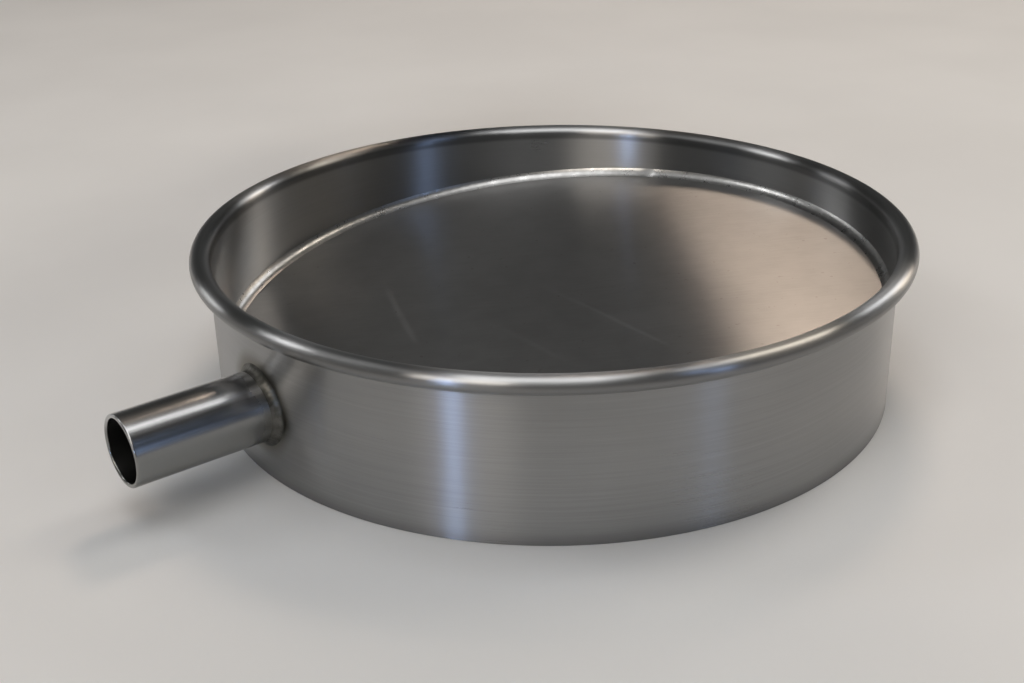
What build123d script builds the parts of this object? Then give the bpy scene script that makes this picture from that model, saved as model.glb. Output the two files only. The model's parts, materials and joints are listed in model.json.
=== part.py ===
"""Receiver pan with a drain spout, for wet sieving.

A round sheet-steel pan with a rolled rim, a floor plate that slopes down to one side and
a short tube let through the wall at the low side. Millimetres. The origin is on the pan's
axis at the base edge, +Z is up, and the spout points along -X.
"""

import os
from math import cos, radians, sin, tan

from build123d import *

# Shell, one sheet from the base edge to the rim
pan_height = 49.0
wall_inside_diameter = 203.6
sheet_thickness = 0.9
base_edge_break = 0.15

# Rolled rim
rim_curl_radius = 2.5
rim_bend_easing = 0.5  # the wall turns into the rim on a slightly wider bend than the curl
rim_tuck_angle = 60.0  # how far the curl runs on past its lowest point
rim_edge_gap = 0.6  # between the sheet's cut edge and the wall

# Floor plate
floor_thickness = 0.9
floor_slope = 5.75
floor_edge_clearance = 0.1

# Solder seam in the corner between the floor and the wall
seam_face_radius = 4.5
seam_wetting_depth = 0.3  # the deeper, the steeper the solder meets the wall and the floor

# Drain spout
spout_outside_diameter = 20.0
spout_wall_thickness = 1.2
spout_length = 40.0  # from the outside of the wall to the lip
spout_axis_height = 21.4
spout_lip_rounding = 0.5
spout_root_relief = 0.25  # taken off the tube's radius where it enters the wall
spout_root_length = 2.4  # of that relief, outside the wall
spout_hole_clearance = 0.05

# Weld round the spout's root
weld_face_radius = 3.5
weld_wetting_depth = 0.3

joint_gap = 0.02  # between a filler and the sheet that it lies on

# Sizes that follow from those above
wall_inside_radius = wall_inside_diameter / 2
wall_outside_radius = wall_inside_radius + sheet_thickness
rim_bend_radius = rim_curl_radius + rim_bend_easing
spout_radius = spout_outside_diameter / 2
spout_bore_radius = spout_radius - spout_wall_thickness
spout_root_radius = spout_radius - spout_root_relief
spout_end = wall_outside_radius + spout_length
slope = radians(floor_slope)

# The plate's underside meets the wall at the lowest point of the spout's bore
floor_low_height = spout_axis_height - spout_bore_radius + floor_thickness / cos(slope)
floor_centre_height = floor_low_height + wall_inside_radius * tan(slope)
floor_top = Plane(
    origin=(0, 0, floor_centre_height),
    x_dir=(cos(slope), 0, sin(slope)),
    z_dir=(-sin(slope), 0, cos(slope)),
)
spout_section = Plane(origin=(0, 0, spout_axis_height), x_dir=(0, 1, 0), z_dir=(-1, 0, 0))

# The curl's centre, and the angles of its section from the outward horizontal
curl_end_angle = -90.0 - rim_tuck_angle
curl_centre_radius = wall_outside_radius + rim_edge_gap - rim_curl_radius * cos(radians(curl_end_angle))
curl_centre_height = pan_height - rim_curl_radius
curl_inside_radius = rim_curl_radius - sheet_thickness


def curl_point(radius, angle):
    """A point of the curl's section, at a radius and angle about the curl's centre."""
    turn = radians(angle)
    return (curl_centre_radius + radius * cos(turn), curl_centre_height + radius * sin(turn))


# One sheet in section: up the inside, over the rim, round the curl and back down the outside
bend_start_height = pan_height - rim_bend_radius
bend_end_radius = wall_inside_radius + rim_bend_radius
with BuildPart() as pan_shell:
    with BuildSketch(Plane.XZ) as sheet_section:
        with BuildLine():
            inside_wall = Line((wall_inside_radius, 0), (wall_inside_radius, bend_start_height))
            outer_bend = JernArc(inside_wall @ 1, (0, 1), rim_bend_radius, -90)
            rim_top = Line(outer_bend @ 1, curl_point(rim_curl_radius, 90))
            curl = ThreePointArc(
                rim_top @ 1,
                curl_point(rim_curl_radius, 0),
                curl_point(rim_curl_radius, curl_end_angle),
            )
            cut_edge = Line(curl @ 1, curl_point(curl_inside_radius, curl_end_angle))
            curl_inside = ThreePointArc(
                cut_edge @ 1,
                curl_point(curl_inside_radius, 0),
                curl_point(curl_inside_radius, 90),
            )
            rim_underside = Line(curl_inside @ 1, (bend_end_radius, pan_height - sheet_thickness))
            inner_bend = JernArc(rim_underside @ 1, (-1, 0), rim_bend_radius - sheet_thickness, 90)
            Polyline(inner_bend @ 1, (wall_outside_radius, 0), inside_wall @ 0)
        make_face()
        chamfer(sheet_section.vertices().group_by(Axis.Y)[0], base_edge_break)
    revolve(axis=Axis.Z)
    with BuildSketch(spout_section):
        Circle(spout_root_radius + spout_hole_clearance)
    extrude(amount=spout_end, mode=Mode.SUBTRACT)

# The floor plate, trimmed square to the wall
with BuildPart() as sloped_floor:
    with BuildSketch():
        Circle(wall_inside_radius - floor_edge_clearance)
    extrude(amount=pan_height)
    split(bisect_by=floor_top, keep=Keep.BOTTOM)
    split(bisect_by=floor_top.offset(-floor_thickness), keep=Keep.TOP)

# The space above the solder: a round void, slightly too wide and deep, with its lower edge rounded
with BuildPart() as seam_void:
    with BuildSketch():
        Circle(wall_inside_radius + seam_wetting_depth)
    extrude(amount=pan_height)
    split(bisect_by=floor_top.offset(-seam_wetting_depth), keep=Keep.TOP)
    fillet(seam_void.edges().sort_by(Axis.Z)[0], seam_face_radius)

# The solder seam: what that void leaves in the corner, open where the drain starts
with BuildPart() as floor_seam:
    with BuildSketch():
        Circle(wall_inside_radius - joint_gap)
    extrude(amount=pan_height)
    split(bisect_by=floor_top.offset(joint_gap), keep=Keep.TOP)
    add(seam_void.part, mode=Mode.SUBTRACT)
    with BuildSketch(spout_section):
        Circle(spout_bore_radius)
    extrude(amount=spout_end, mode=Mode.SUBTRACT)

# The spout as a solid bar, relieved at the root
with BuildPart() as spout_bar:
    with BuildSketch(spout_section.offset(wall_inside_radius)):
        Circle(spout_root_radius)
    extrude(amount=spout_end - wall_inside_radius)
    with BuildSketch(spout_section.offset(wall_outside_radius + spout_root_length)):
        Circle(spout_radius)
    extrude(amount=spout_length - spout_root_length)

# The spout: the bar bored through, with a rounded lip
with BuildPart() as drain_spout:
    add(spout_bar.part)
    with BuildSketch(spout_section):
        Circle(spout_bore_radius)
    extrude(amount=spout_end, mode=Mode.SUBTRACT)
    fillet(drain_spout.faces().sort_by(Axis.X)[0].edges(), spout_lip_rounding)

# The weld: wall and spout as two bars with a rounded corner between them, less the bars themselves
with BuildPart() as spout_weld:
    with BuildSketch():
        Circle(wall_outside_radius - weld_wetting_depth)
    extrude(amount=pan_height)
    with BuildSketch(spout_section):
        Circle(spout_radius - weld_wetting_depth)
    extrude(amount=spout_end)
    fillet(spout_weld.edges().filter_by(GeomType.BSPLINE), weld_face_radius)
    with BuildSketch():
        Circle(wall_outside_radius + joint_gap)
    extrude(amount=pan_height, mode=Mode.SUBTRACT)
    add(spout_bar.part, mode=Mode.SUBTRACT)

os.makedirs("parts", exist_ok=True)
pan_shell.part.label = "pan_shell"
export_step(pan_shell.part, "parts/pan_shell.step")
sloped_floor.part.label = "sloped_floor"
export_step(sloped_floor.part, "parts/sloped_floor.step")
floor_seam.part.label = "floor_seam"
export_step(floor_seam.part, "parts/floor_seam.step")
drain_spout.part.label = "drain_spout"
export_step(drain_spout.part, "parts/drain_spout.step")
spout_weld.part.label = "spout_weld"
export_step(spout_weld.part, "parts/spout_weld.step")
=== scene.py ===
"""Dresses the receiver pan with a drain spout and sets it in a plain studio.

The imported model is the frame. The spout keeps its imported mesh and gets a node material. The shell is
turned again with a finer rim, the floor plate gets the slight unevenness of rolled sheet, and the solder
seam and the spout's weld become rippled beads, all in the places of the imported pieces. Lengths are in
metres.
"""

import json
import logging
import math
from dataclasses import dataclass, field
from enum import Enum
from typing import Any, Mapping, Optional, Sequence, Union

import bpy
from mathutils import Matrix, Vector, noise

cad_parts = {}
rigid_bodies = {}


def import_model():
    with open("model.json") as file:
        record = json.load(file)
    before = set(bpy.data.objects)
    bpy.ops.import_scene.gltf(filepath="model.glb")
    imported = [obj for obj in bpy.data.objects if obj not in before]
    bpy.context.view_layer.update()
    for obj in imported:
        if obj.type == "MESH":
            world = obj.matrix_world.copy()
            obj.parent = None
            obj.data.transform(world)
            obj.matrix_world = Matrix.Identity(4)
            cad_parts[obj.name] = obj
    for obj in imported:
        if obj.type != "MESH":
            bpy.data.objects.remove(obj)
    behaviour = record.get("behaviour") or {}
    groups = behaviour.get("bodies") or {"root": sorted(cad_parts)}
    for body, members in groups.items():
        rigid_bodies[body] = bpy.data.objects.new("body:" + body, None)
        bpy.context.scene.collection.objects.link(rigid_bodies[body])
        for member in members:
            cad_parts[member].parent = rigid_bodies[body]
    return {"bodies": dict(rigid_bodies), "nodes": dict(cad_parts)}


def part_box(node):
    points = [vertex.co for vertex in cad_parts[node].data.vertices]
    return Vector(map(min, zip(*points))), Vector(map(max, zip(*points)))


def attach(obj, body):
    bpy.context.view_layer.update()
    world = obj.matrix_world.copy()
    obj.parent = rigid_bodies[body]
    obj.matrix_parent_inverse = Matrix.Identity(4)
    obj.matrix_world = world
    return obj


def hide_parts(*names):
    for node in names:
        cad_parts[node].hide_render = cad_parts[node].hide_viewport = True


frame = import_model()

log = logging.getLogger("receiver_pan")

MM = 0.001
BODY = "root"
SHARP_EDGE = math.radians(30.0)

# The middle of a noise, and the span that most of it lies in
NOISE_MEAN = 0.5
NOISE_SPAN = (0.3, 0.7)

Colour = tuple[float, float, float]
Triple = tuple[float, float, float]
Pair = tuple[float, float]
Face = tuple[int, ...]
Operand = Union["Value", float]
Paint = Union[bpy.types.NodeSocket, Colour]


class Clamp(Enum):
    """How a mask goes from 0 to 1."""

    SMOOTH = "SMOOTHSTEP"
    STRAIGHT = "LINEAR"


class Value:
    """A shader value. Arithmetic on it adds Math nodes to its board."""

    def __init__(self, board: "NodeBoard", socket: bpy.types.NodeSocket) -> None:
        """Keep the socket and the board that holds its node."""
        self.board = board
        self.socket = socket

    def __add__(self, other: Operand) -> "Value":
        """Add."""
        return self.board.math("ADD", self, other)

    def __radd__(self, other: Operand) -> "Value":
        """Add, with the plain number first."""
        return self.board.math("ADD", other, self)

    def __sub__(self, other: Operand) -> "Value":
        """Subtract."""
        return self.board.math("SUBTRACT", self, other)

    def __rsub__(self, other: Operand) -> "Value":
        """Subtract this value from a plain number."""
        return self.board.math("SUBTRACT", other, self)

    def __mul__(self, other: Operand) -> "Value":
        """Multiply."""
        return self.board.math("MULTIPLY", self, other)

    def __rmul__(self, other: Operand) -> "Value":
        """Multiply, with the plain number first."""
        return self.board.math("MULTIPLY", other, self)

    def __pow__(self, other: Operand) -> "Value":
        """Raise to a power."""
        return self.board.math("POWER", self, other)

    def __abs__(self) -> "Value":
        """Drop the sign."""
        return self.board.math("ABSOLUTE", self, 0.0)

    def rise(self, low: float, high: float, clamp: Clamp = Clamp.SMOOTH) -> "Value":
        """Go from 0 at low to 1 at high, and stay there.

        Args:
            low: Where the result is 0.
            high: Where the result is 1. It may be less than low.
            clamp: The form of the rise.

        Returns:
            A mask between 0 and 1.
        """
        node = self.board.add(
            "ShaderNodeMapRange",
            {"interpolation_type": clamp.value, "clamp": True},
            {"Value": self, "From Min": low, "From Max": high},
        )
        return Value(self.board, node.outputs["Result"])


class NodeBoard:
    """One node tree, and the methods that put nodes on it."""

    def __init__(self, tree: bpy.types.NodeTree) -> None:
        """Start with an empty tree."""
        self.tree = tree
        tree.nodes.clear()

    def add(
        self,
        kind: str,
        settings: Optional[Mapping[str, Any]] = None,
        inputs: Optional[Mapping[Union[str, int], Any]] = None,
    ) -> bpy.types.Node:
        """Add a node, set it up and feed its sockets.

        Args:
            kind: The node's type, such as ShaderNodeBump.
            settings: Properties of the node, set before its sockets.
            inputs: What each socket gets, by its name or place: a number, a colour, a Value or a
                node's socket.

        Returns:
            The new node.
        """
        node = self.tree.nodes.new(kind)
        for name, setting in (settings or {}).items():
            setattr(node, name, setting)
        for key, content in (inputs or {}).items():
            if isinstance(key, int):
                socket = node.inputs[key]
            else:
                socket = next(s for s in node.inputs if s.name == key and s.enabled)
            if isinstance(content, Value):
                content = content.socket
            if isinstance(content, bpy.types.NodeSocket):
                self.tree.links.new(content, socket)
            elif socket.type == "RGBA" and len(content) == 3:
                socket.default_value = (*content, 1.0)
            else:
                socket.default_value = content
        return node

    def math(self, operation: str, first: Operand, second: Operand) -> Value:
        """Add a Math node.

        Args:
            operation: The node's operation.
            first: Its first operand.
            second: Its second operand.

        Returns:
            The result.
        """
        node = self.add("ShaderNodeMath", {"operation": operation}, {0: first, 1: second})
        return Value(self, node.outputs[0])

    def place(self) -> bpy.types.NodeSocket:
        """The point's place in the part's frame."""
        return self.add("ShaderNodeTexCoord").outputs["Object"]

    def split(self, vector: bpy.types.NodeSocket) -> tuple[Value, Value, Value]:
        """The three parts of a vector."""
        node = self.add("ShaderNodeSeparateXYZ", None, {"Vector": vector})
        return tuple(Value(self, output) for output in node.outputs)

    def noise(
        self, vector: bpy.types.NodeSocket, per_metre: Triple, detail: float = 2.0, roughness: float = 0.5
    ) -> Value:
        """Noise with its own grain along each axis.

        Args:
            vector: Where the noise is read, in metres.
            per_metre: How many grains there are to a metre along each axis.
            detail: Octaves of finer noise.
            roughness: How strong those octaves are.

        Returns:
            The noise, mostly between 0.3 and 0.7 about a mean of 0.5.
        """
        stretched = self.add("ShaderNodeVectorMath", {"operation": "MULTIPLY"}, {0: vector, 1: per_metre})
        node = self.add(
            "ShaderNodeTexNoise",
            None,
            {"Vector": stretched.outputs["Vector"], "Scale": 1.0, "Detail": detail, "Roughness": roughness},
        )
        return Value(self, node.outputs["Fac"])

    def turned(self, vector: bpy.types.NodeSocket, angle: float) -> bpy.types.NodeSocket:
        """Read a place in turned axes.

        Args:
            vector: The place.
            angle: How far the axes are turned about Z, in radians.

        Returns:
            The place in those axes.
        """
        node = self.add(
            "ShaderNodeVectorRotate", {"rotation_type": "Z_AXIS"}, {"Vector": vector, "Angle": -angle}
        )
        return node.outputs["Vector"]

    def mixed(self, share: Operand, first: Paint, second: Paint) -> bpy.types.NodeSocket:
        """Mix two colours.

        Args:
            share: The second colour's share.
            first: The colour at a share of 0.
            second: The colour at a share of 1.

        Returns:
            The mixed colour.
        """
        node = self.add(
            "ShaderNodeMix",
            {"data_type": "RGBA", "clamp_factor": True},
            {"Factor": share, "A": first, "B": second},
        )
        return next(s for s in node.outputs if s.enabled)

    def bumped(
        self, height: Value, depth: float, under: Optional[bpy.types.NodeSocket] = None
    ) -> bpy.types.NodeSocket:
        """A normal from a height.

        Args:
            height: The height, as a share of depth.
            depth: What a height of 1 stands for, in metres.
            under: The normal that the bump lies on, or None for the surface's own.

        Returns:
            The bumped normal.
        """
        inputs = {"Height": height, "Distance": depth, "Strength": 1.0}
        if under is not None:
            inputs["Normal"] = under
        return self.add("ShaderNodeBump", None, inputs).outputs["Normal"]


@dataclass(frozen=True)
class PanSizes:
    """The sizes that more than one piece or finish needs."""

    height: float
    wall_inside: float
    plate_radius: float
    spout_height: float
    spout_radius: float
    sheet: float = 0.9 * MM
    floor_slope: float = math.radians(5.75)
    spout_wall: float = 1.2 * MM
    spout_relief: float = 0.25 * MM
    wetting: float = 0.3 * MM
    joint_gap: float = 0.02 * MM

    @classmethod
    def of_frame(cls) -> "PanSizes":
        """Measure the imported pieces.

        Returns:
            The measured sizes. Those that no box shows are the part's own, given above.
        """
        _, shell_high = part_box("pan_shell")
        _, plate_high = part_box("sloped_floor")
        tube_low, tube_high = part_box("drain_spout")
        return cls(
            height=shell_high.z,
            wall_inside=-tube_high.x,
            plate_radius=plate_high.x,
            spout_height=(tube_high.z + tube_low.z) / 2.0,
            spout_radius=(tube_high.z - tube_low.z) / 2.0,
        )

    @property
    def wall_outside(self) -> float:
        """The radius of the wall's outside."""
        return self.wall_inside + self.sheet

    @property
    def spout_root(self) -> float:
        """The spout's radius where it enters the wall."""
        return self.spout_radius - self.spout_relief

    @property
    def plate_drop(self) -> float:
        """The plate's thickness, measured straight down."""
        return self.sheet / math.cos(self.floor_slope)

    def floor_height(self, x: float) -> float:
        """The height of the floor plate's top.

        Args:
            x: The place along X.

        Returns:
            The height there. The plate's underside meets the wall at the lowest point of the spout's bore.
        """
        bore_bottom = self.spout_height - self.spout_radius + self.spout_wall
        return bore_bottom + self.plate_drop + (x + self.wall_inside) * math.tan(self.floor_slope)


SIZES = PanSizes.of_frame()


@dataclass(frozen=True)
class Coat:
    """What a finish sends to its shader."""

    colour: bpy.types.NodeSocket
    roughness: Value
    normal: bpy.types.NodeSocket


@dataclass(frozen=True)
class Finish:
    """A surface finish. Each kind paints its own coat. Its stretch draws highlights out across the grain."""

    name: str
    metallic: float = 1.0
    stretch: float = 0.0
    stretch_turn: float = 0.0

    def paint(self, board: NodeBoard) -> Coat:
        """Put the finish's nodes on a board.

        Args:
            board: The board of the finish's material.

        Returns:
            What the nodes send to the shader.
        """
        raise NotImplementedError

    def material(self) -> bpy.types.Material:
        """Make the finish's material.

        Returns:
            A material with a Principled shader fed by the finish's coat.
        """
        material = bpy.data.materials.new(self.name)
        material.use_nodes = True
        board = NodeBoard(material.node_tree)
        coat = self.paint(board)
        shader = board.add(
            "ShaderNodeBsdfPrincipled",
            None,
            {
                "Base Color": coat.colour,
                "Metallic": self.metallic,
                "Roughness": coat.roughness,
                "Normal": coat.normal,
                "Anisotropic": self.stretch,
                "Anisotropic Rotation": self.stretch_turn,
            },
        )
        board.add("ShaderNodeOutputMaterial", None, {"Surface": shader.outputs["BSDF"]})
        return material


@dataclass(frozen=True)
class BrushedShell(Finish):
    """Brushed sheet with a rubbed rim and a heat tint round the weld, and painted light: a lighter inside, a
    painted highlight on the rim's crest and inner bend, and painted shade on the rim below its crest and
    along the base edge.
    """

    light: Colour = (0.415, 0.415, 0.415)
    dark: Colour = (0.345, 0.345, 0.345)
    # Painted light: the inside gets lighter shades than the outside, though both are the same sheet
    lit_inside_light: Colour = (0.45, 0.45, 0.45)
    lit_inside_dark: Colour = (0.41, 0.41, 0.41)
    # Painted shade: the rim is darker than the wall below its crest
    painted_rim_shade: Colour = (0.25, 0.25, 0.25)
    rim_start: float = 44.2 * MM
    rim_full: float = 45.6 * MM
    # Painted highlight: the rim's crest is lighter, and its inner bend lighter still
    painted_crest_highlight: Colour = (0.52, 0.52, 0.52)
    crest_highlight_start: float = 47.0 * MM
    crest_highlight_full: float = 48.0 * MM
    painted_bend_highlight: Colour = (0.61, 0.61, 0.61)
    bend_highlight_reach: float = 2.6 * MM
    bend_highlight_fade: float = 0.8 * MM
    # Painted shade: the wall darkens towards its base edge
    painted_base_shade: Colour = (0.25, 0.25, 0.25)
    base_shade_share: float = 0.75
    base_shade_reach: float = 5.0 * MM
    tint: Colour = (0.16, 0.15, 0.12)
    tint_share: float = 0.8
    tint_start: float = 11.5 * MM
    tint_reach: float = 5.0 * MM
    tint_spread: float = 6.0 * MM
    wall_roughness: float = 0.30
    wall_cloud: float = 0.12
    rim_roughness: float = 0.288
    rim_cloud: float = 0.05
    cloud_grain: Triple = (22.0, 22.0, 30.0)
    wave_grain: Triple = (26.0, 26.0, 18.0)
    wave_depth: float = 0.16 * MM
    fine_lines: Triple = (45.0, 45.0, 6500.0)
    fine_share: float = 0.6
    broad_lines: Triple = (14.0, 14.0, 1300.0)
    line_depth: float = 0.0007 * MM
    line_roughness: float = 0.05
    inside_lines: float = 0.25

    def paint(self, board: NodeBoard) -> Coat:
        """Brush the wall, rub the rim, tint the weld's surroundings and paint light and shade on the sheet.

        Args:
            board: The board of the finish's material.

        Returns:
            What the nodes send to the shader.
        """
        place = board.place()
        x, y, z = board.split(place)
        fine = board.noise(place, self.fine_lines, detail=3)
        broad = board.noise(place, self.broad_lines)
        lines = self.fine_share * fine + (1.0 - self.fine_share) * broad
        brushing = lines.rise(*NOISE_SPAN, Clamp.STRAIGHT)
        cloud = board.noise(place, self.cloud_grain, detail=3) - NOISE_MEAN

        radius = (x * x + y * y) ** 0.5
        outside = radius.rise(SIZES.wall_inside, SIZES.wall_outside)
        rim = z.rise(self.rim_start, self.rim_full)
        # Where the painted highlight on the rim's inner bend lies
        bend_highlight_end = SIZES.wall_inside + self.bend_highlight_reach
        bend = radius.rise(bend_highlight_end + self.bend_highlight_fade, bend_highlight_end)
        rise = z - SIZES.spout_height
        from_spout = (y * y + rise * rise) ** 0.5 + cloud * self.tint_spread
        spout_side = x.rise(0.0, -SIZES.wall_inside / 2.0)
        tint = from_spout.rise(self.tint_start + self.tint_reach, self.tint_start) * spout_side * outside

        # Painted light: the inside and the outside of one sheet get different shades
        inner = board.mixed(brushing, self.lit_inside_dark, self.lit_inside_light)
        outer = board.mixed(brushing, self.dark, self.light)
        colour = board.mixed(outside, inner, outer)
        # Painted shade on the rim below its crest
        colour = board.mixed(rim, colour, self.painted_rim_shade)
        # Painted highlight on the rim's crest and inner bend
        crest_highlight = board.mixed(bend, self.painted_crest_highlight, self.painted_bend_highlight)
        colour = board.mixed(z.rise(self.crest_highlight_start, self.crest_highlight_full), colour, crest_highlight)
        colour = board.mixed(tint * self.tint_share, colour, self.tint)
        # Painted shade, darker towards the base edge
        colour = board.mixed(z.rise(self.base_shade_reach, 0.0) * self.base_shade_share, colour, self.painted_base_shade)

        lining = (1.0 - rim) * (self.inside_lines + outside * (1.0 - self.inside_lines))
        wall = self.wall_roughness + (brushing - NOISE_MEAN) * lining * self.line_roughness
        wall = wall + cloud * self.wall_cloud
        polish = self.rim_roughness + cloud * self.rim_cloud
        roughness = wall + rim * (polish - wall)
        normal = board.bumped(board.noise(place, self.wave_grain, detail=1), self.wave_depth)
        normal = board.bumped(brushing * lining, self.line_depth, normal)
        return Coat(colour, roughness, normal)


@dataclass(frozen=True)
class RolledPlate(Finish):
    """Rolled plate with a fine straight grain, rub marks and a few specks."""

    light: Colour = (0.39, 0.385, 0.38)
    dark: Colour = (0.345, 0.34, 0.335)
    shade_span: Pair = (0.36, 0.64)
    plate_roughness: float = 0.288
    grain_turn: float = math.radians(-37.5)
    grain_lines: Triple = (90.0, 2600.0, 300.0)
    grain_share: float = 0.35
    grain_roughness: float = 0.02
    grain_depth: float = 0.0006 * MM
    cloud_grain: Triple = (18.0, 18.0, 18.0)
    cloud_share: float = 0.3
    cloud_roughness: float = 0.03
    mottle_grain: Triple = (130.0, 130.0, 130.0)
    mottle_share: float = 0.35
    rub_grain: Triple = (420.0, 9.0, 9.0)
    rub_span: Pair = (0.62, 0.78)
    rub_roughness: float = 0.02
    speck: Colour = (0.22, 0.20, 0.18)
    speck_grain: Triple = (520.0, 520.0, 520.0)
    speck_span: Pair = (0.72, 0.80)
    speck_share: float = 0.45
    scuff_turn: float = math.radians(68.9)
    scuff_across: float = 45.6 * MM
    scuff_half_width: float = 1.8 * MM
    scuff_start: Pair = (-14.0 * MM, 2.0 * MM)
    scuff_end: Pair = (42.0 * MM, 18.0 * MM)
    scuff_roughness: float = 0.03

    def paint(self, board: NodeBoard) -> Coat:
        """Lay the grain, the mottle, the rub marks and the specks.

        Args:
            board: The board of the finish's material.

        Returns:
            What the nodes send to the shader.
        """
        place = board.place()
        grain = board.noise(board.turned(place, self.grain_turn), self.grain_lines, detail=3)
        cloud = board.noise(place, self.cloud_grain, detail=4)
        mottle = board.noise(place, self.mottle_grain, detail=3)
        rubs = board.noise(place, self.rub_grain).rise(*self.rub_span)
        specks = board.noise(place, self.speck_grain, detail=1).rise(*self.speck_span)
        along, across, _ = board.split(board.turned(place, self.scuff_turn))
        scuff = abs(across - self.scuff_across).rise(self.scuff_half_width, 0.0)
        scuff = scuff * along.rise(*self.scuff_start) * along.rise(*self.scuff_end)

        shade = self.grain_share * grain + self.cloud_share * cloud + self.mottle_share * mottle
        colour = board.mixed(shade.rise(*self.shade_span), self.dark, self.light)
        colour = board.mixed(specks * self.speck_share, colour, self.speck)
        roughness = self.plate_roughness + (cloud - NOISE_MEAN) * self.cloud_roughness
        roughness = roughness + (grain - NOISE_MEAN) * self.grain_roughness
        roughness = roughness + rubs * self.rub_roughness + scuff * self.scuff_roughness
        return Coat(colour, roughness, board.bumped(grain, self.grain_depth))


@dataclass(frozen=True)
class DrawnTube(Finish):
    """Polished drawn tube with fine lines along it, painted shade on its underside and a heat tint at its
    root.
    """

    light: Colour = (0.54, 0.54, 0.54)
    dark: Colour = (0.455, 0.455, 0.46)
    # Painted shade: the tube darkens towards its underside
    painted_under_shade: Colour = (0.28, 0.28, 0.27)
    under_shade_start: float = 6.2 * MM
    under_shade_full: float = 1.5 * MM
    tint: Colour = (0.22, 0.205, 0.165)
    tint_share: float = 0.4
    tint_reach: float = 4.0 * MM
    tint_spread: float = 5.0 * MM
    tint_roughness: float = 0.10
    weld_reach: float = 2.5 * MM
    tube_roughness: float = 0.23
    cloud_grain: Triple = (60.0, 90.0, 90.0)
    cloud_roughness: float = 0.10
    wave_grain: Triple = (45.0, 130.0, 130.0)
    wave_depth: float = 0.05 * MM
    drawn_lines: Triple = (25.0, 2400.0, 2400.0)
    line_roughness: float = 0.08
    line_depth: float = 0.0010 * MM

    def paint(self, board: NodeBoard) -> Coat:
        """Draw lines along the tube, paint shade on its underside and tint its root.

        Args:
            board: The board of the finish's material.

        Returns:
            What the nodes send to the shader.
        """
        place = board.place()
        x, _, z = board.split(place)
        lines = board.noise(place, self.drawn_lines, detail=3)
        cloud = board.noise(place, self.cloud_grain, detail=3) - NOISE_MEAN
        root = -SIZES.wall_outside - self.weld_reach
        tint = (x + cloud * self.tint_spread).rise(root - self.tint_reach, root)
        # Painted shade, darker towards the underside
        under = (z - SIZES.spout_height).rise(self.under_shade_start, self.under_shade_full)
        colour = board.mixed(lines.rise(*NOISE_SPAN), self.dark, self.light)
        colour = board.mixed(under, colour, self.painted_under_shade)
        colour = board.mixed(tint * self.tint_share, colour, self.tint)
        roughness = self.tube_roughness + (lines - NOISE_MEAN) * self.line_roughness
        roughness = roughness + cloud * self.cloud_roughness + tint * self.tint_roughness
        normal = board.bumped(board.noise(place, self.wave_grain, detail=1), self.wave_depth)
        normal = board.bumped(lines, self.line_depth, normal)
        return Coat(colour, roughness, normal)


@dataclass(frozen=True)
class BeadMetal(Finish):
    """Solder or weld metal as it set: two shades, patchy, with a grainy skin."""

    light: Colour = (0.60, 0.595, 0.585)
    dark: Colour = (0.50, 0.495, 0.485)
    bead_roughness: float = 0.30
    patch_grain: float = 260.0
    patch_detail: float = 0.6
    patch_span: Pair = (0.36, 0.62)
    patch_roughness: float = 0.25
    patch_depth: float = 0.008 * MM
    skin_grain: float = 1900.0
    skin_roughness: float = 0.06
    skin_depth: float = 0.003 * MM

    def paint(self, board: NodeBoard) -> Coat:
        """Patches of the two shades over a grainy skin.

        Args:
            board: The board of the finish's material.

        Returns:
            What the nodes send to the shader.
        """
        place = board.place()
        patch = board.noise(place, (self.patch_grain,) * 3, detail=3, roughness=self.patch_detail)
        skin = board.noise(place, (self.skin_grain,) * 3)
        colour = board.mixed(patch.rise(*self.patch_span), self.dark, self.light)
        roughness = self.bead_roughness + (NOISE_MEAN - patch) * self.patch_roughness
        roughness = roughness + (skin - NOISE_MEAN) * self.skin_roughness
        normal = board.bumped(patch, self.patch_depth)
        normal = board.bumped(skin, self.skin_depth, normal)
        return Coat(colour, roughness, normal)


@dataclass(frozen=True)
class PaleTop(Finish):
    """The pale surface that the pan stands on."""

    light: Colour = (0.90, 0.90, 0.895)
    dark: Colour = (0.87, 0.87, 0.865)
    top_roughness: float = 0.6
    mottle_grain: Triple = (9.0, 9.0, 9.0)
    mottle_roughness: float = 0.1
    skin_grain: Triple = (900.0, 900.0, 900.0)
    skin_depth: float = 0.02 * MM

    def paint(self, board: NodeBoard) -> Coat:
        """A faint mottle.

        Args:
            board: The board of the finish's material.

        Returns:
            What the nodes send to the shader.
        """
        place = board.place()
        mottle = board.noise(place, self.mottle_grain, detail=4)
        colour = board.mixed(mottle.rise(*NOISE_SPAN), self.dark, self.light)
        roughness = self.top_roughness + (mottle - NOISE_MEAN) * self.mottle_roughness
        return Coat(colour, roughness, board.bumped(board.noise(place, self.skin_grain), self.skin_depth))


def mesh_object(name: str, points: Sequence[Sequence[float]], faces: Sequence[Face]) -> bpy.types.Object:
    """Make an object from its points and faces.

    Args:
        name: The new object's name.
        points: Its vertices.
        faces: The vertices of each face, counter-clockwise from outside.

    Returns:
        The object, in the scene.
    """
    mesh = bpy.data.meshes.new(name)
    mesh.from_pydata(points, [], faces)
    mesh.validate()
    made = bpy.data.objects.new(name, mesh)
    bpy.context.scene.collection.objects.link(made)
    return made


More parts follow.
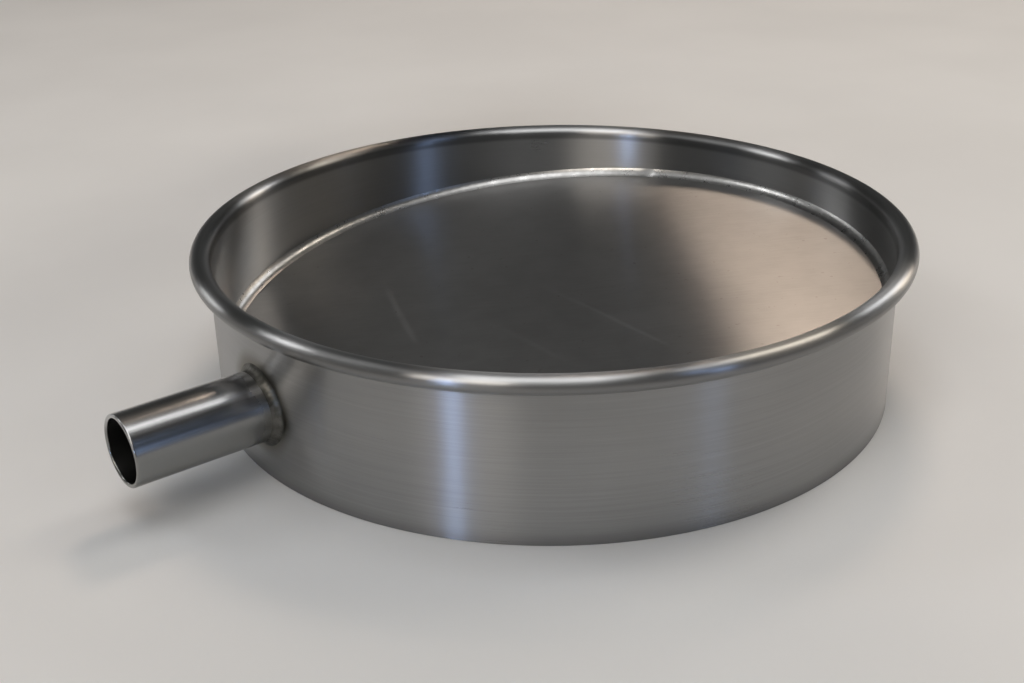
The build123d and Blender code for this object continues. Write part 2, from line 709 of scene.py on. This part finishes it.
def swept_object(name: str, sections: Sequence[Sequence[Vector]], closed: bool) -> bpy.types.Object:
    """Make a solid from the sections along it.

    Args:
        name: The new object's name.
        sections: One closed outline after another, each with as many points, counter-clockwise as seen
            from the sections that follow it.
        closed: Whether the last section joins the first. Otherwise both ends get a face.

    Returns:
        The object, in the scene.
    """
    count = len(sections[0])
    points = [tuple(point) for section in sections for point in section]
    faces: list[Face] = []
    for i in range(len(sections) if closed else len(sections) - 1):
        here, there = i * count, (i + 1) % len(sections) * count
        for j in range(count):
            k = (j + 1) % count
            faces.append((here + j, here + k, there + k, there + j))
    if not closed:
        faces.append(tuple(reversed(range(count))))
        faces.append(tuple(range(len(points) - count, len(points))))
    return mesh_object(name, points, faces)


def stand_in(piece: bpy.types.Object, node: str, finish: Finish) -> None:
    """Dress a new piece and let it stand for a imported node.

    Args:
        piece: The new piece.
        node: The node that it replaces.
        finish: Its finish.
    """
    piece.data.shade_smooth()
    piece.data.set_sharp_from_angle(angle=SHARP_EDGE)
    piece.data.materials.append(finish.material())
    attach(piece, BODY)
    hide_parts(node)


def arc(centre: Pair, radius: float, start: float, end: float, steps: int) -> list[Pair]:
    """Points along an arc.

    Args:
        centre: The arc's centre.
        radius: Its radius.
        start: The angle that it starts at, in radians.
        end: The angle that it ends at.
        steps: How many chords it has.

    Returns:
        steps + 1 points, both ends among them.
    """
    angles = [start + (end - start) * i / steps for i in range(steps + 1)]
    return [(centre[0] + radius * math.cos(a), centre[1] + radius * math.sin(a)) for a in angles]


def bead_face(centre: Pair, first: Pair, last: Pair, lump: float, steps: int) -> list[Pair]:
    """The hollow face of a bead, swollen at its middle.

    Args:
        centre: The centre of the hollow.
        first: Where the face starts.
        last: Where it ends, about as far from the centre.
        lump: How far its middle stands proud of the true hollow.
        steps: How many chords it has.

    Returns:
        steps + 1 points along the shorter way round the centre.
    """
    start = math.atan2(first[1] - centre[1], first[0] - centre[0])
    turn = math.atan2(last[1] - centre[1], last[0] - centre[0]) - start
    turn = (turn + math.pi) % (2.0 * math.pi) - math.pi
    radius = math.dist(centre, first)
    points = []
    for i in range(steps + 1):
        angle = start + turn * i / steps
        reach = radius - lump * math.sin(math.pi * i / steps)
        points.append((centre[0] + reach * math.cos(angle), centre[1] + reach * math.sin(angle)))
    return points


@dataclass
class PanShell:
    """The sheet shell: a round wall that turns over into a rolled rim, with a hole for the spout."""

    node: str = "pan_shell"
    bend_radius: float = 3.0 * MM
    curl_radius: float = 2.5 * MM
    tuck: float = math.radians(60.0)
    edge_gap: float = 0.6 * MM
    base_break: float = 0.15 * MM
    support: float = 0.4 * MM
    hole_clearance: float = 0.05 * MM
    hole_sides: int = 96
    bend_steps: int = 16
    curl_steps: int = 44
    steps_round: int = 400
    finish: Finish = BrushedShell("shell_steel", stretch=1.0, stretch_turn=0.25)

    def section(self) -> list[Pair]:
        """The sheet's section, up the inside, over the rim, round the curl and back down the outside.

        Returns:
            Pairs of a radius and a height. A row by each end of the wall keeps its shading straight.
        """
        inside, outside, top = SIZES.wall_inside, SIZES.wall_outside, SIZES.height
        wall_top = top - self.bend_radius
        bend = (inside + self.bend_radius, wall_top)
        tuck_end = -math.pi / 2.0 - self.tuck
        curl = (outside + self.edge_gap - self.curl_radius * math.cos(tuck_end), top - self.curl_radius)
        return [
            (inside + self.base_break, 0.0),
            (inside, self.base_break),
            (inside, self.base_break + self.support),
            (inside, wall_top - self.support),
            *arc(bend, self.bend_radius, math.pi, math.pi / 2.0, self.bend_steps),
            *arc(curl, self.curl_radius, math.pi / 2.0, tuck_end, self.curl_steps),
            *arc(curl, self.curl_radius - SIZES.sheet, tuck_end, math.pi / 2.0, self.curl_steps),
            *arc(bend, self.bend_radius - SIZES.sheet, math.pi / 2.0, math.pi, self.bend_steps),
            (outside, wall_top - self.support),
            (outside, self.base_break + self.support),
            (outside, self.base_break),
            (outside - self.base_break, 0.0),
        ]

    def pierce(self, shell: bpy.types.Object) -> None:
        """Cut the spout's hole through the wall.

        Args:
            shell: The turned shell.
        """
        radius = SIZES.spout_root + self.hole_clearance
        outline = arc((0.0, SIZES.spout_height), radius, 0.0, math.tau, self.hole_sides)[:-1]
        ends = (-SIZES.wall_outside - SIZES.spout_radius, -SIZES.wall_inside + SIZES.spout_radius)
        drill = swept_object("drill", [[Vector((x, y, z)) for y, z in outline] for x in ends], closed=False)
        cut = shell.modifiers.new("spout_hole", "BOOLEAN")
        cut.operation = "DIFFERENCE"
        cut.solver = "EXACT"
        cut.object = drill
        evaluated = shell.evaluated_get(bpy.context.evaluated_depsgraph_get())
        pierced = bpy.data.meshes.new_from_object(evaluated)
        shell.modifiers.clear()
        shell.data = pierced
        bpy.data.objects.remove(drill)

    def build(self) -> None:
        """Turn the section round the pan's axis, pierce the wall and dress the shell."""
        section = self.section()
        angles = [math.tau * step / self.steps_round for step in range(self.steps_round)]
        sections = [[Vector((r * math.cos(a), r * math.sin(a), z)) for r, z in section] for a in angles]
        shell = swept_object("rolled_shell", sections, closed=True)
        self.pierce(shell)
        stand_in(shell, self.node, self.finish)


@dataclass
class FloorPlate:
    """The sloped floor plate, a little uneven as rolled sheet is."""

    node: str = "sloped_floor"
    unevenness: float = 0.05 * MM
    edge_fade: int = 4
    waves_per_metre: float = 24.0
    rings: int = 28
    steps_round: int = 240
    grain_centre: float = 30.0
    finish: RolledPlate = RolledPlate("floor_steel", stretch=0.85)

    def top(self, place: Vector) -> float:
        """The height of the plate's top.

        Args:
            place: The place in plan.

        Returns:
            The height there, with the unevenness dying out towards the edge.
        """
        fade = 1.0 - (place.length / SIZES.plate_radius) ** self.edge_fade
        uneven = self.unevenness * noise.noise(place * self.waves_per_metre) * fade
        return SIZES.floor_height(place.x) + uneven

    def side(self, fall: float) -> list[Triple]:
        """One side of the plate.

        Args:
            fall: How far it lies below the plate's top.

        Returns:
            The middle point and then the points of each ring, from the inside out.
        """
        points = [(0.0, 0.0, self.top(Vector()) - fall)]
        for ring in range(1, self.rings + 1):
            radius = SIZES.plate_radius * ring / self.rings
            for step in range(self.steps_round):
                angle = math.tau * step / self.steps_round
                place = Vector((math.cos(angle), math.sin(angle), 0.0)) * radius
                points.append((place.x, place.y, self.top(place) - fall))
        return points

    def faces(self, under: int) -> list[Face]:
        """The faces of both sides and of the edge.

        Args:
            under: The number of the underside's first point.

        Returns:
            The points of each face.
        """
        faces: list[Face] = []
        edge = 1 + (self.rings - 1) * self.steps_round
        for step in range(self.steps_round):
            after = (step + 1) % self.steps_round
            faces.append((0, 1 + step, 1 + after))
            faces.append((under, under + 1 + after, under + 1 + step))
            for inner in range(1, edge, self.steps_round):
                outer = inner + self.steps_round
                quad = (inner + step, outer + step, outer + after, inner + after)
                faces.append(quad)
                faces.append(tuple(under + point for point in reversed(quad)))
            faces.append((edge + step, under + edge + step, under + edge + after, edge + after))
        return faces

    def build(self) -> None:
        """Make the plate, give its grain one direction and dress it."""
        top, underside = self.side(0.0), self.side(SIZES.plate_drop)
        plate = mesh_object("floor_plate", top + underside, self.faces(len(top)))
        across = Vector((math.cos(self.finish.grain_turn), math.sin(self.finish.grain_turn), 0.0))
        # The stretch runs round the centre of the texture space, so a centre far away makes it straight
        plate.data.use_auto_texspace = False
        plate.data.texspace_location = across * -self.grain_centre
        plate.data.texspace_size = (1.0, 1.0, 1.0)
        stand_in(plate, self.node, self.finish)


@dataclass
class DrainSpout:
    """The drain tube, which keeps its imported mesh."""

    node: str = "drain_spout"
    finish: Finish = DrawnTube("spout_steel")

    def build(self) -> None:
        """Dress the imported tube."""
        frame["nodes"][self.node].material_slots[0].material = self.finish.material()


@dataclass
class FloorSeam:
    """The solder fillet round the floor plate, with the ripples of hand soldering."""

    node: str = "floor_seam"
    face_radius: float = 4.5 * MM
    mouth_half_angle: float = math.radians(3.0)
    ripple: float = 0.06 * MM
    coarse_ripples: float = 22.0
    coarse_share: float = 0.6
    fine_ripples: float = 75.0
    fine_share: float = 0.5
    blob_angle: float = math.radians(29.5)
    blob_width: float = math.radians(1.1)
    blob_height: float = 0.2 * MM
    steps_round: int = 900
    steps_across: int = 6
    finish: Finish = BeadMetal("solder")

    def lump(self, angle: float) -> float:
        """How far the solder stands proud.

        Args:
            angle: The angle round the pan.

        Returns:
            The height over the true fillet there.
        """
        around = Vector((math.cos(angle), math.sin(angle), 0.0))
        coarse = self.coarse_share * noise.noise(around * self.coarse_ripples)
        fine = self.fine_share * noise.noise(around * self.fine_ripples)
        off_blob = (angle - self.blob_angle) / self.blob_width
        return self.ripple * (coarse + fine) + self.blob_height * math.exp(-off_blob * off_blob)

    def section(self, angle: float) -> list[Vector]:
        """The bead's section.

        Args:
            angle: The angle round the pan.

        Returns:
            Points from the wall down the face to the floor, and then the corner behind.
        """
        outward = Vector((math.cos(angle), math.sin(angle), 0.0))
        wall_radius = SIZES.wall_inside - SIZES.joint_gap
        corner = SIZES.floor_height(wall_radius * outward.x) + SIZES.joint_gap
        fall = math.tan(SIZES.floor_slope) * outward.x
        inset = self.face_radius - SIZES.wetting
        centre = (inset, inset / math.cos(SIZES.floor_slope) - fall * inset)
        wall = (0.0, centre[1] - math.sqrt(self.face_radius**2 - centre[0] ** 2))
        along = Vector((1.0, -fall)).normalized()
        foot = along * along.dot(Vector(centre))
        floor = foot - along * math.sqrt(self.face_radius**2 - (Vector(centre) - foot).length_squared)
        face = bead_face(centre, wall, (floor.x, floor.y), self.lump(angle), self.steps_across)
        outline = [*face, (0.0, 0.0)]
        return [outward * (wall_radius - depth) + Vector((0.0, 0.0, corner + up)) for depth, up in outline]

    def build(self) -> None:
        """Lay the bead from one side of the drain's mouth round to the other."""
        start = math.pi - self.mouth_half_angle
        angles = [start - 2.0 * start * i / self.steps_round for i in range(self.steps_round + 1)]
        sections = [self.section(angle) for angle in angles]
        stand_in(swept_object("solder_bead", sections, closed=False), self.node, self.finish)


@dataclass
class SpoutWeld:
    """The weld fillet in the corner between the wall and the spout."""

    node: str = "spout_weld"
    face_radius: float = 3.5 * MM
    ripples: int = 46
    ripple: float = 0.02 * MM
    drifts: float = 3.0
    drift_reach: float = 2.0
    unevenness: float = 0.12 * MM
    swells: float = 2.6
    noise_level: float = 2.0
    steps_round: int = 460
    steps_across: int = 6
    finish: Finish = BeadMetal(
        "weld_metal",
        light=(0.155, 0.15, 0.135),
        dark=(0.09, 0.087, 0.076),
        bead_roughness=0.42,
        patch_grain=330.0,
        patch_depth=0.012 * MM,
    )

    @staticmethod
    def wall_at(side: float, radius: float) -> float:
        """How far out a round wall is.

        Args:
            side: The distance to the side of the spout's axis.
            radius: The wall's radius.

        Returns:
            The distance from the pan's axis along the spout.
        """
        return math.sqrt(radius**2 - side**2)

    def lump(self, angle: float) -> float:
        """How far the weld stands proud.

        Args:
            angle: The angle round the spout.

        Returns:
            The height over the true fillet there.
        """
        around = Vector((math.cos(angle), math.sin(angle), self.noise_level))
        drift = self.drift_reach * noise.noise(around * self.drifts)
        ripple = self.ripple * math.cos(self.ripples * angle + drift)
        return ripple + self.unevenness * noise.noise(around * self.swells)

    def section(self, angle: float) -> list[Vector]:
        """The bead's section.

        Args:
            angle: The angle round the spout, from straight up.

        Returns:
            Points from the spout over the face to the wall, and then the corner behind.
        """
        across, up = math.sin(angle), math.cos(angle)
        inset = self.face_radius - SIZES.wetting
        centre_off = SIZES.spout_radius + inset
        centre = (centre_off, self.wall_at(centre_off * across, SIZES.wall_outside + inset))
        foot = SIZES.spout_root + SIZES.joint_gap
        toe = (foot, centre[1] - math.sqrt(self.face_radius**2 - (centre_off - foot) ** 2))
        skin = SIZES.wall_outside + SIZES.joint_gap
        heel_off = centre_off - math.sqrt(self.face_radius**2 - inset**2)
        heel = (heel_off, self.wall_at(heel_off * across, skin))
        face = bead_face(centre, toe, heel, self.lump(angle), self.steps_across)
        outline = [*face[:-1], heel, (foot, self.wall_at(foot * across, skin))]
        return [Vector((-out, off * across, SIZES.spout_height + off * up)) for off, out in outline]

    def build(self) -> None:
        """Lay the bead all the way round the spout."""
        sections = [self.section(math.tau * i / self.steps_round) for i in range(self.steps_round)]
        stand_in(swept_object("weld_bead", sections, closed=True), self.node, self.finish)


@dataclass(frozen=True)
class PhotoCamera:
    """The camera at the photograph's viewpoint."""

    azimuth: float = math.radians(-37.542)
    elevation: float = math.radians(24.765)
    roll: float = math.radians(-1.406)
    distance: float = 0.44313
    aside: float = -0.01293
    above: float = 0.00831
    sensor_width: float = 36.0
    focal_pixels: float = 1394.07
    frame_pixels: float = 1024.0
    clip_start: float = 0.01

    def axes(self) -> tuple[Vector, Vector, Vector]:
        """The camera's axes before its roll.

        Returns:
            The directions to its right, up and back.
        """
        right = Vector((math.cos(self.azimuth), math.sin(self.azimuth), 0.0))
        level = Vector((math.sin(self.azimuth), -math.cos(self.azimuth), 0.0))
        back = level * math.cos(self.elevation) + Vector((0.0, 0.0, math.sin(self.elevation)))
        return right, back.cross(right), back

    def bearing(self, turn: float, height: float) -> Vector:
        """A direction from the pan, turned from the camera's own towards its right.

        Args:
            turn: Degrees round from the camera.
            height: Degrees above the horizon.

        Returns:
            A unit vector.
        """
        right, _, back = self.axes()
        level = Vector((back.x, back.y, 0.0)).normalized()
        flat = level * math.cos(math.radians(turn)) + right * math.sin(math.radians(turn))
        return flat * math.cos(math.radians(height)) + Vector((0.0, 0.0, math.sin(math.radians(height))))

    def build(self) -> None:
        """Put the camera in the scene."""
        right, up, back = self.axes()
        rolled_right = right * math.cos(self.roll) + up * math.sin(self.roll)
        rolled_up = up * math.cos(self.roll) - right * math.sin(self.roll)
        data = bpy.data.cameras.new("photo_camera")
        data.sensor_width = self.sensor_width
        data.lens = self.focal_pixels / self.frame_pixels * self.sensor_width
        data.clip_start = self.clip_start
        camera = bpy.data.objects.new("photo_camera", data)
        bpy.context.scene.collection.objects.link(camera)
        turn = Matrix((rolled_right, rolled_up, back)).transposed()
        place = back * self.distance + rolled_right * self.aside + rolled_up * self.above
        camera.matrix_world = Matrix.Translation(place) @ turn.to_4x4()
        bpy.context.scene.camera = camera


@dataclass(frozen=True)
class SoftLight:
    """A flat soft light that faces the pan."""

    name: str
    turn: float
    height: float
    distance: float
    width: float
    length: float
    radiance: float
    colour: Colour = (1.0, 1.0, 1.0)
    beam: float = math.pi

    def power(self) -> float:
        """The power that gives the light its radiance.

        Returns:
            Watts. A grid that narrows the beam lets less of an open light's power through.
        """
        half = self.beam / 2.0
        return 4.0 * self.width * self.length * self.radiance * (1.0 - half / math.tan(half))

    def build(self, camera: PhotoCamera, target: Vector) -> None:
        """Hang the light and aim it.

        Args:
            camera: The camera that the light's bearing is measured from.
            target: The point that it faces.
        """
        data = bpy.data.lights.new(self.name, "AREA")
        data.shape = "RECTANGLE"
        data.size = self.width
        data.size_y = self.length
        data.spread = self.beam
        data.energy = self.power()
        data.color = self.colour
        light = bpy.data.objects.new(self.name, data)
        bpy.context.scene.collection.objects.link(light)
        outward = camera.bearing(self.turn, self.height)
        light.location = target + outward * self.distance
        light.rotation_mode = "QUATERNION"
        light.rotation_quaternion = (-outward).to_track_quat("-Z", "Y")
        log.info("light %s: %.1f W", self.name, data.energy)


@dataclass(frozen=True)
class LightFlag:
    """A black card that keeps part of a lamp's light off the pan, out of the camera's sight."""

    name: str
    turn: float
    height: float
    distance: float
    aim: Triple
    outline: tuple[Pair, ...]
    shade: Colour = (0.01, 0.01, 0.01)

    def build(self, camera: PhotoCamera) -> None:
        """Hang the card square to the line to its aim.

        Args:
            camera: The camera that the card's bearing is measured from.
        """
        outward = camera.bearing(self.turn, self.height)
        sideways = outward.cross(Vector((0.0, 0.0, 1.0))).normalized()
        upward = sideways.cross(outward)
        centre = Vector(self.aim) + outward * self.distance
        corners = [centre + sideways * aside + upward * above for aside, above in self.outline]
        card = mesh_object(self.name, corners, [tuple(range(len(corners)))])
        material = bpy.data.materials.new(self.name)
        material.use_nodes = True
        board = NodeBoard(material.node_tree)
        black = board.add("ShaderNodeBsdfDiffuse", None, {"Color": self.shade})
        board.add("ShaderNodeOutputMaterial", None, {"Surface": black.outputs["BSDF"]})
        card.data.materials.append(material)
        card.visible_camera = False


# The colours of the lamps, and the beam of a lamp behind a grid
WARM: Colour = (1.0, 0.80, 0.64)
CREAM: Colour = (1.0, 0.90, 0.76)
AMBER: Colour = (1.0, 0.86, 0.70)
IVORY: Colour = (1.0, 0.93, 0.84)
BLUE: Colour = (0.42, 0.60, 1.0)
GRID = math.radians(40.0)


def studio_lights() -> list[SoftLight]:
    """The soft lights round the pan.

    Returns:
        The lights, with turns and heights in degrees and the rest in metres.
    """
    return [
        SoftLight("top_softbox", -10, 78, distance=1.15, width=0.65, length=0.93, radiance=1.55),
        SoftLight("side_softbox", 100, 66, distance=1.3, width=0.3, length=0.25, radiance=1.7),
        SoftLight("warm_lamp", 167, 53, distance=1.5, width=0.315, length=0.27, radiance=9.7, colour=WARM),
        SoftLight("right_lamp", 120, 52, distance=1.4, width=0.5, length=0.45, radiance=2.8, colour=CREAM),
        SoftLight("right_window", 137, 30, distance=1.6, width=0.5, length=0.36, radiance=2.0),
        SoftLight("right_glow", 129, 17, distance=1.5, width=0.25, length=0.35, radiance=2.5, colour=AMBER),
        SoftLight("left_lamp", -100, 38, distance=1.5, width=0.36, length=0.36, radiance=2.8),
        SoftLight("left_glow", -123, 13, distance=1.5, width=0.4, length=0.36, radiance=1.2),
        SoftLight("left_wing", -92, 52, distance=1.3, width=0.8, length=0.6, radiance=0.3),
        SoftLight(
            "left_strip", -31, 3.2, distance=1.8, width=0.14, length=0.2, radiance=23.0,
            colour=BLUE, beam=GRID,
        ),
        SoftLight("left_window", -30, 34, distance=1.8, width=0.8, length=0.7, radiance=2.4, colour=IVORY),
        SoftLight("right_strip", 46, 12, distance=1.8, width=0.2, length=0.6, radiance=1.45, colour=BLUE),
        SoftLight("high_strip", 44, 36, distance=1.8, width=0.2, length=0.45, radiance=1.0, colour=BLUE),
    ]


def lamp_flag() -> LightFlag:
    """The card that cuts the warm lamp's light off slantwise across the floor plate.

    Returns:
        The card, with its turn and height in degrees and the rest in metres.
    """
    return LightFlag(
        "lamp_flag",
        turn=171,
        height=50,
        distance=0.22,
        aim=(0.06, -0.02, 0.03),
        outline=((-0.149, -0.120), (-0.085, -0.120), (0.036, 0.130), (-0.081, 0.130)),
    )


@dataclass
class Studio:
    """A pale floor, soft lights and a dim room above a pale horizon."""

    camera: PhotoCamera = field(default_factory=PhotoCamera)
    lights: list[SoftLight] = field(default_factory=studio_lights)
    flag: LightFlag = field(default_factory=lamp_flag)
    target: Vector = field(default_factory=lambda: Vector((0.0, 0.0, 0.03)))
    floor_half: float = 20.0
    floor_finish: Finish = PaleTop("pale_top", metallic=0.0)
    horizon: Colour = (0.14, 0.14, 0.14)
    room: Colour = (0.04, 0.041, 0.04)
    room_start: float = 0.10
    room_full: float = 0.27

    def build(self) -> None:
        """Make the floor, the lights, the world and the camera."""
        half = self.floor_half
        corners = [(-half, -half, 0.0), (half, -half, 0.0), (half, half, 0.0), (-half, half, 0.0)]
        floor = mesh_object("pale_floor", corners, [(0, 1, 2, 3)])
        floor.data.materials.append(self.floor_finish.material())
        for light in self.lights:
            light.build(self.camera, self.target)
        self.flag.build(self.camera)
        self.world()
        self.camera.build()

    def world(self) -> None:
        """Shade the room from a pale horizon to a dim ceiling."""
        world = bpy.data.worlds.new("room")
        world.use_nodes = True
        board = NodeBoard(world.node_tree)
        direction = board.add("ShaderNodeTexCoord").outputs["Generated"]
        _, _, height = board.split(direction)
        colour = board.mixed(height.rise(self.room_start, self.room_full), self.horizon, self.room)
        shade = board.add("ShaderNodeBackground", None, {"Color": colour, "Strength": 1.0})
        board.add("ShaderNodeOutputWorld", None, {"Surface": shade.outputs["Background"]})
        bpy.context.scene.world = world


def clear_stage() -> None:
    """Remove what stands in a new Blender scene."""
    kept = set(frame["nodes"].values()) | set(frame["bodies"].values())
    for extra in [o for o in bpy.data.objects if o not in kept]:
        bpy.data.objects.remove(extra)


def main() -> None:
    """Dress the pan, lay its beads and set up the studio."""
    logging.basicConfig(level=logging.INFO, format="%(name)s %(message)s")
    clear_stage()
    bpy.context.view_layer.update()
    for piece in (PanShell(), FloorPlate(), FloorSeam(), DrainSpout(), SpoutWeld()):
        piece.build()
        log.info("%s built in %s", piece.node, piece.finish.name)
    Studio().build()
    bpy.context.scene.view_settings.view_transform = "Standard"


if __name__ == "__main__":
    main()
